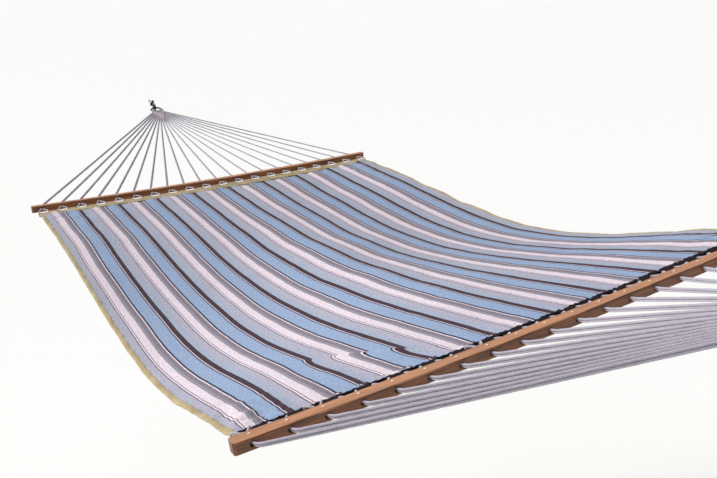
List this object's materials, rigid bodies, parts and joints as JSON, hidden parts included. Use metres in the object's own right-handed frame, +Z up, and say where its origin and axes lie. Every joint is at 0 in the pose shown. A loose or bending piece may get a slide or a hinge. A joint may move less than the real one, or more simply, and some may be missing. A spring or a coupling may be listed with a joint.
{
  "type": "spreader bar hammock",
  "caption": "Striped cloth hammock bed between wooden spreader bars, each end hung by a fan of doubled ropes, a woven clew, a ring and a screw hook with a steel stem.",
  "frame": {"origin": "under the middle of the bed, level with the lowest point of its sag", "axes": "+X along the hammock towards its near end, +Y across it, +Z up"},
  "size_m": [3.7914, 1.4212, 0.4397],
  "materials": {
    "hardwood": "satin varnish",
    "dowel_wood": "plain",
    "bright_steel": "bright",
    "zinc_steel": "zinc plated",
    "black_metal": "black satin coating",
    "striped_cloth": "woven stripes of blue, white, taupe and plum",
    "hem_cloth": "plain weave",
    "rope": "twisted three-strand",
    "clew_cord": "woven cord"
  },
  "bodies": {
    "hooks": {"near_hook": "black_metal", "far_hook": "black_metal", "hook_washers": "zinc_steel", "hook_nuts": "zinc_steel"},
    "far_end": {"far_spreader_bar": "hardwood", "far_bar_nails": "bright_steel", "far_hem_dowel": "dowel_wood", "far_end_hem": "hem_cloth", "far_clew": "clew_cord", "far_top_cloth": "striped_cloth", "far_backing_cloth": "hem_cloth", "far_rope_01": "rope", "far_rope_02": "rope", "far_rope_03": "rope", "far_rope_04": "rope", "far_rope_05": "rope", "far_rope_06": "rope", "far_rope_07": "rope", "far_rope_08": "rope", "far_rope_09": "rope", "far_rope_10": "rope", "far_rope_11": "rope", "far_rope_12": "rope", "far_rope_13": "rope", "far_rope_14": "rope", "far_rope_15": "rope", "far_rope_16": "rope", "far_rope_17": "rope", "far_rope_18": "rope", "far_rope_19": "rope", "far_rope_20": "rope"},
    "far_eye": {"far_ring": "black_metal"},
    "near_end": {"near_spreader_bar": "hardwood", "near_bar_nails": "bright_steel", "near_hem_dowel": "dowel_wood", "near_end_hem": "hem_cloth", "near_clew": "clew_cord", "near_top_cloth": "striped_cloth", "near_backing_cloth": "hem_cloth", "near_rope_01": "rope", "near_rope_02": "rope", "near_rope_03": "rope", "near_rope_04": "rope", "near_rope_05": "rope", "near_rope_06": "rope", "near_rope_07": "rope", "near_rope_08": "rope", "near_rope_09": "rope", "near_rope_10": "rope", "near_rope_11": "rope", "near_rope_12": "rope", "near_rope_13": "rope", "near_rope_14": "rope", "near_rope_15": "rope", "near_rope_16": "rope", "near_rope_17": "rope", "near_rope_18": "rope", "near_rope_19": "rope", "near_rope_20": "rope"},
    "near_eye": {"near_ring": "black_metal"}
  },
  "joints": [
    {"name": "swing", "type": "hinge", "parent": "hooks", "child": "far_end", "pos_m": [0, 0, 0.40368], "axis": [1, 0, 0], "range_deg": [-25, 25]},
    {"name": "twist", "type": "hinge", "parent": "far_end", "child": "near_end", "pos_m": [0, 0, 0.40368], "axis": [1, 0, 0], "range_deg": [-10, 5]},
    {"name": "near_ring_turn", "type": "hinge", "parent": "near_end", "child": "near_eye", "pos_m": [1.785, 0.00029, 0.39701], "axis": [-0.328, -0.0412, 0.9438], "continuous": true},
    {"name": "far_ring_turn", "type": "hinge", "parent": "far_end", "child": "far_eye", "pos_m": [-1.785, -0.00029, 0.39701], "axis": [0.328, 0.0412, 0.9438], "continuous": true}
  ]
}
